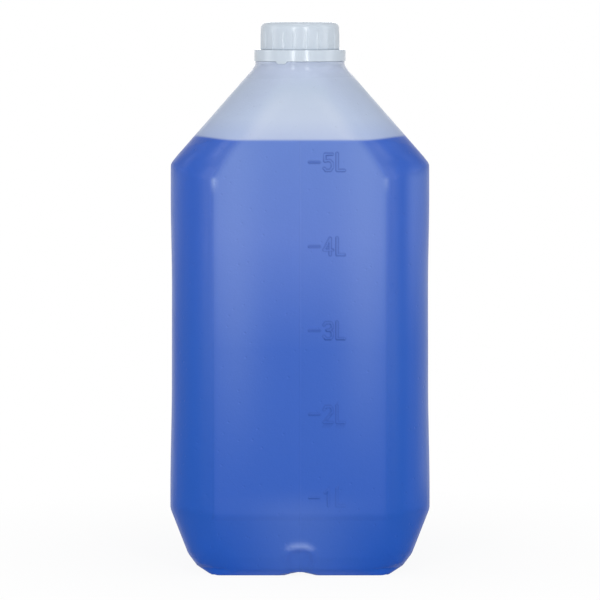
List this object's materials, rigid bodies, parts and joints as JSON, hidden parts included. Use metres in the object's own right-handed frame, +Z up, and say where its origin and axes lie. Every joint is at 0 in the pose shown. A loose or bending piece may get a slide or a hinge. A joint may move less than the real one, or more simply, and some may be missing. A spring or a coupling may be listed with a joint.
{
  "type": "glass cleaner jug",
  "caption": "Blow-moulded translucent jug with an integral handle, litre marks and a ribbed screw cap, filled with blue glass cleaner.",
  "frame": {"origin": "centre of the part's box on the surface that the jug stands on", "axes": "+Z up, -Y towards the narrow front with the litre marks, +X to the right of that front"},
  "size_m": [0.137, 0.1834, 0.2902],
  "materials": {
    "natural_hdpe": "satin",
    "blue_cleaner": "gloss",
    "cap_plastic": "satin",
    "liner_foam": "matte"
  },
  "bodies": {
    "jug": {"jug_body": "natural_hdpe", "glass_cleaner": "blue_cleaner", "tamper_ring": "cap_plastic"},
    "liner": {"cap_liner": "liner_foam"},
    "cap": {"cap": "cap_plastic"}
  },
  "joints": [
    {"name": "cap_rise", "type": "slide", "parent": "jug", "child": "liner", "axis": [0, 0, 1], "range_m": [0, 0.01001]},
    {"name": "cap_turn", "type": "hinge", "parent": "liner", "child": "cap", "pos_m": [0, -0.047, 0.283], "axis": [0, 0, 1], "range_deg": [0, 720]}
  ],
  "couplings": [
    {"joint": "cap_rise", "follows": "cap_turn", "m_per_rad": 0.00079577}
  ]
}
